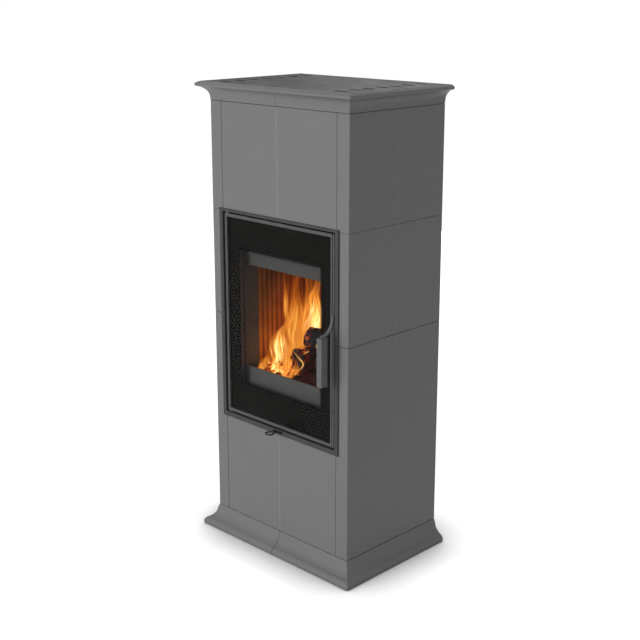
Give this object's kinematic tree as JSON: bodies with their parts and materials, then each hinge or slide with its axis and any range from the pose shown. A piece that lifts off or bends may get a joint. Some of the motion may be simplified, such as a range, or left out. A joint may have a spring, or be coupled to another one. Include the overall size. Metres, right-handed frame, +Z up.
{
  "type": "tiled wood stove",
  "caption": "Upright wood stove clad in grey glazed tiles between a moulded plinth and cornice, with a tall glass door and a fluted fire chamber.",
  "frame": {"origin": "on the floor, in the middle of the outline seen from above", "axes": "+Z up, -Y out of the front with the door, +X towards the handle side of the door"},
  "size_m": [0.6, 0.486, 1.3336],
  "materials": {
    "glaze": "satin",
    "top_paint": "matte",
    "dark_paint": "satin",
    "rim_paint": "satin",
    "grip_paint": "satin",
    "mouth_paint": "matte",
    "plain_steel": "satin",
    "zinc_sheet": "satin",
    "cast_iron": "matte",
    "fire_brick": "matte",
    "black_glass": "gloss",
    "seal_rope": "matte",
    "charred_wood": "matte",
    "glowing_ember": "matte"
  },
  "bodies": {
    "casing": {"plinth_right": "glaze", "plinth_left": "glaze", "cornice_right": "glaze", "cornice_left": "glaze", "corner_tile_right_lower": "glaze", "corner_tile_left_lower": "glaze", "side_tile_right_lower": "glaze", "side_tile_left_lower": "glaze", "corner_tile_right_upper": "glaze", "corner_tile_left_upper": "glaze", "side_tile_right_upper": "glaze", "side_tile_left_upper": "glaze", "corner_tile_right_top": "glaze", "corner_tile_left_top": "glaze", "side_tile_right_top": "glaze", "side_tile_left_top": "glaze", "front_tile_right_upper": "glaze", "front_tile_left_upper": "glaze", "front_tile_right_lower": "glaze", "front_tile_left_lower": "glaze", "top_plate": "top_paint", "carcass_right": "zinc_sheet", "carcass_left": "zinc_sheet", "front_rail_lower": "zinc_sheet", "front_rail_upper": "zinc_sheet", "back_panel": "dark_paint", "stove_stand": "plain_steel", "firebox_shell": "plain_steel", "mouth_frame": "mouth_paint", "log_guard": "mouth_paint", "lining_right": "fire_brick", "lining_left": "fire_brick", "lining_back": "fire_brick", "lining_floor": "fire_brick", "grate": "cast_iron", "ash_pan": "plain_steel", "baffle_lower": "fire_brick", "baffle_upper": "plain_steel", "flue_collar": "dark_paint", "blanking_cap": "plain_steel", "air_guide": "plain_steel", "insert_frame": "dark_paint", "hinge_pin_lower": "plain_steel", "hinge_pin_upper": "plain_steel", "latch_keeper_lower": "plain_steel", "latch_keeper_upper": "plain_steel", "log_left": "charred_wood", "log_right": "charred_wood", "log_top": "charred_wood", "ember_bed": "glowing_ember"},
    "door": {"door_frame": "rim_paint", "door_glass": "black_glass", "glass_tape": "seal_rope", "door_rope": "seal_rope"},
    "handle": {"closing_bar": "rim_paint", "handle_neck": "grip_paint", "handle_grip": "grip_paint"},
    "air_slide": {"air_rod": "cast_iron", "air_shutter": "plain_steel"},
    "lid": {"top_lid": "top_paint"}
  },
  "joints": [
    {"name": "door_hinge", "type": "hinge", "parent": "casing", "child": "door", "pos_m": [-0.208, -0.1825, 0.38], "axis": [0, 0, -1], "range_deg": [0, 100]},
    {"name": "handle_turn", "type": "hinge", "parent": "door", "child": "handle", "pos_m": [0.21125, -0.1865, 0.6], "axis": [0, 0, 1], "range_deg": [0, 25]},
    {"name": "air_slide", "type": "slide", "parent": "casing", "child": "air_slide", "axis": [0, -1, 0], "range_m": [0, 0.02]},
    {"name": "lid_lift", "type": "slide", "parent": "casing", "child": "lid", "axis": [0, 0, 1], "range_m": [0, 0.06]}
  ]
}
